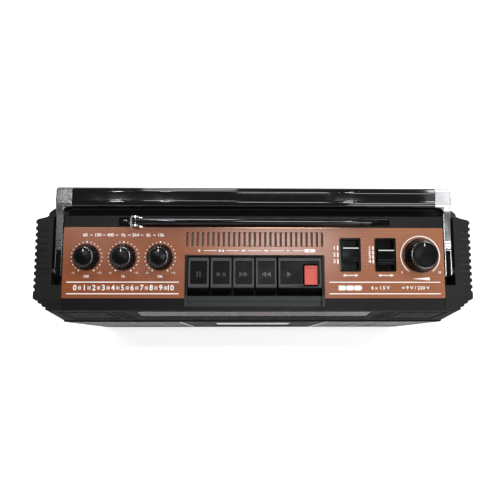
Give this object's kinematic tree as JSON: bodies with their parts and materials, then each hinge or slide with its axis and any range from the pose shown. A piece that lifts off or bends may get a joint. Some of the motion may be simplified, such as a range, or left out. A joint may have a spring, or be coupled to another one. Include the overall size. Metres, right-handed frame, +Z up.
{
  "type": "radio cassette recorder",
  "caption": "Portable stereo radio cassette recorder with sloping copper control deck, piano keys, fold-back carrying handle, telescopic antenna, tape door and battery bay.",
  "frame": {"origin": "middle of the footprint, on the surface that the feet stand on", "axes": "+X to the listener's right, -Y to the front, +Z up"},
  "size_m": [0.42, 0.126, 0.1969],
  "materials": {
    "black_moulding": "fine-textured black polystyrene",
    "cheek_moulding": "satin black, fluted",
    "gloss_black": "polished black",
    "key_plastic": "semi-gloss black",
    "record_red": "semi-gloss red",
    "panel_copper": "copper-anodised, brushed lengthways",
    "plated": "bright plated",
    "steel": "zinc-plated sheet and bright rod",
    "brass": "turned",
    "grille_metal": "dark grey lacquer",
    "paper_cone": "black pressed paper",
    "clear_tinted": "clear acrylic with a warm tint",
    "dial_card": "printed copper-brown dial plate",
    "white_plastic": "natural acetal",
    "rubber": "black rubber",
    "board": "phenolic paper board",
    "transformer_iron": "varnished laminations"
  },
  "bodies": {
    "cabinet": {"front_cabinet": "black_moulding", "rear_cabinet": "black_moulding", "top_deck": "black_moulding", "left_cheek": "cheek_moulding", "right_cheek": "cheek_moulding", "control_panel": "panel_copper", "key_frame": "black_moulding", "key_axle": "steel", "tone_controls": "steel", "switch_bezels": "gloss_black", "handle_pins": "steel", "antenna_base": "plated", "dial_window": "clear_tinted", "dial_scale": "dial_card", "left_grille": "grille_metal", "right_grille": "grille_metal", "left_speaker": "steel", "right_speaker": "steel", "left_cone": "paper_cone", "right_cone": "paper_cone", "tape_deck": "steel", "motor": "steel", "drive_belt": "rubber", "main_board": "board", "transformer": "transformer_iron", "battery_contacts": "plated", "ac_inlet": "black_moulding", "phones_jack": "plated", "feet": "rubber", "cabinet_screws": "steel"},
    "handle": {"handle_grip": "gloss_black", "left_handle_arm": "plated", "right_handle_arm": "plated", "handle_inlays": "gloss_black"},
    "cassette_door": {"cassette_door": "black_moulding", "door_window": "clear_tinted"},
    "head_plate": {"tape_heads": "steel"},
    "pause_key": {"pause_key": "key_plastic"},
    "stop_eject_key": {"stop_eject_key": "key_plastic"},
    "fast_forward_key": {"fast_forward_key": "key_plastic"},
    "rewind_key": {"rewind_key": "key_plastic"},
    "play_key": {"play_key": "key_plastic"},
    "record_key": {"record_key": "record_red"},
    "treble_knob": {"treble_knob": "gloss_black"},
    "middle_knob": {"middle_knob": "gloss_black"},
    "bass_knob": {"bass_knob": "gloss_black"},
    "volume_knob": {"volume_knob": "gloss_black"},
    "function_slider": {"function_slider": "gloss_black"},
    "band_slider": {"band_slider": "gloss_black"},
    "antenna_tube": {"antenna_tube": "plated"},
    "antenna_middle": {"antenna_middle": "plated"},
    "antenna_inner": {"antenna_inner": "plated"},
    "tuning_knob": {"tuning_knob": "gloss_black"},
    "dial_pointer": {"dial_pointer": "record_red"},
    "battery_door": {"battery_door": "black_moulding"},
    "supply_spindle": {"supply_spindle": "white_plastic"},
    "take_up_spindle": {"take_up_spindle": "white_plastic"},
    "capstan": {"capstan": "steel"},
    "motor_pulley": {"motor_pulley": "brass"},
    "pinch_roller": {"pinch_roller": "rubber"}
  },
  "joints": [
    {"name": "handle_fold", "type": "hinge", "parent": "cabinet", "child": "handle", "pos_m": [0, -0.01715, 0.1738], "axis": [1, 0, 0], "range_deg": [0, 100]},
    {"name": "pause_press", "type": "hinge", "parent": "cabinet", "child": "pause_key", "pos_m": [0, 0.00267, 0.17654], "axis": [1, 0, 0], "range_deg": [0, 6], "stiffness_Nm_per_rad": 1, "springref_deg": -3.44},
    {"name": "stop_eject_press", "type": "hinge", "parent": "cabinet", "child": "stop_eject_key", "pos_m": [0, 0.00267, 0.17654], "axis": [1, 0, 0], "range_deg": [0, 6], "stiffness_Nm_per_rad": 1, "springref_deg": -3.44},
    {"name": "fast_forward_press", "type": "hinge", "parent": "cabinet", "child": "fast_forward_key", "pos_m": [0, 0.00267, 0.17654], "axis": [1, 0, 0], "range_deg": [0, 6], "stiffness_Nm_per_rad": 1, "springref_deg": -3.44},
    {"name": "rewind_press", "type": "hinge", "parent": "cabinet", "child": "rewind_key", "pos_m": [0, 0.00267, 0.17654], "axis": [1, 0, 0], "range_deg": [0, 6], "stiffness_Nm_per_rad": 1, "springref_deg": -3.44},
    {"name": "play_press", "type": "hinge", "parent": "cabinet", "child": "play_key", "pos_m": [0, 0.00267, 0.17654], "axis": [1, 0, 0], "range_deg": [0, 6], "stiffness_Nm_per_rad": 1, "springref_deg": -3.44},
    {"name": "record_press", "type": "hinge", "parent": "cabinet", "child": "record_key", "pos_m": [0, 0.00267, 0.17654], "axis": [1, 0, 0], "range_deg": [0, 6], "stiffness_Nm_per_rad": 1, "springref_deg": -3.44},
    {"name": "treble_turn", "type": "hinge", "parent": "cabinet", "child": "treble_knob", "pos_m": [-0.0906, -0.00527, 0.18233], "axis": [0, -0.1616, 0.9869], "range_deg": [-150, 150]},
    {"name": "middle_turn", "type": "hinge", "parent": "cabinet", "child": "middle_knob", "pos_m": [-0.1256, -0.00527, 0.18233], "axis": [0, -0.1616, 0.9869], "range_deg": [-150, 150]},
    {"name": "bass_turn", "type": "hinge", "parent": "cabinet", "child": "bass_knob", "pos_m": [-0.1606, -0.00527, 0.18233], "axis": [0, -0.1616, 0.9869], "range_deg": [-150, 150]},
    {"name": "volume_turn", "type": "hinge", "parent": "cabinet", "child": "volume_knob", "pos_m": [0.16, -0.0034, 0.18264], "axis": [0, -0.1616, 0.9869], "range_deg": [-150, 150]},
    {"name": "function_slide", "type": "slide", "parent": "cabinet", "child": "function_slider", "axis": [0, 0.9869, 0.1616], "range_m": [-0.0065, 0.0065]},
    {"name": "band_slide", "type": "slide", "parent": "cabinet", "child": "band_slider", "axis": [0, 0.9869, 0.1616], "range_m": [-0.00433, 0.00867]},
    {"name": "antenna_lift", "type": "hinge", "parent": "cabinet", "child": "antenna_tube", "pos_m": [-0.114, 0.02754, 0.19176], "axis": [0, -0.9869, -0.1616], "range_deg": [0, 90]},
    {"name": "antenna_middle_slide", "type": "slide", "parent": "antenna_tube", "child": "antenna_middle", "axis": [1, 0, 0], "range_m": [0, 0.18]},
    {"name": "antenna_inner_slide", "type": "slide", "parent": "antenna_middle", "child": "antenna_inner", "axis": [1, 0, 0], "range_m": [0, 0.175]},
    {"name": "tuning_turn", "type": "hinge", "parent": "cabinet", "child": "tuning_knob", "pos_m": [0.199, -0.00777, 0.12649], "axis": [1, 0, 0], "range_deg": [-600, 600]},
    {"name": "pointer_slide", "type": "slide", "parent": "cabinet", "child": "dial_pointer", "axis": [1, 0, 0], "range_m": [-0.09949, 0.09949]},
    {"name": "door_open", "type": "hinge", "parent": "cabinet", "child": "cassette_door", "pos_m": [0, -0.06077, 0.0405], "axis": [1, 0, 0], "range_deg": [0, 35]},
    {"name": "battery_door_pull", "type": "slide", "parent": "cabinet", "child": "battery_door", "axis": [0, 1, 0], "range_m": [0, 0.04]},
    {"name": "supply_turn", "type": "hinge", "parent": "cabinet", "child": "supply_spindle", "pos_m": [-0.02125, -0.04567, 0.0883], "axis": [0, 1, 0], "continuous": true},
    {"name": "take_up_turn", "type": "hinge", "parent": "cabinet", "child": "take_up_spindle", "pos_m": [0.02125, -0.04567, 0.0883], "axis": [0, 1, 0], "continuous": true},
    {"name": "capstan_turn", "type": "hinge", "parent": "cabinet", "child": "capstan", "pos_m": [0.0205, -0.04567, 0.0604], "axis": [0, 1, 0], "continuous": true},
    {"name": "pulley_turn", "type": "hinge", "parent": "cabinet", "child": "motor_pulley", "pos_m": [-0.034, -0.04567, 0.0724], "axis": [0, 1, 0], "continuous": true},
    {"name": "head_lift", "type": "slide", "parent": "cabinet", "child": "head_plate", "axis": [0, 0, 1], "range_m": [0, 0.004]},
    {"name": "roller_turn", "type": "hinge", "parent": "head_plate", "child": "pinch_roller", "pos_m": [0.0205, -0.05167, 0.0498], "axis": [0, 1, 0], "continuous": true}
  ],
  "couplings": [
    {"joint": "pointer_slide", "follows": "tuning_turn", "m_per_rad": 0.0095},
    {"joint": "pulley_turn", "follows": "capstan_turn", "ratio": 4.0385},
    {"joint": "head_lift", "follows": "play_press", "m_per_rad": 0.038193}
  ]
}
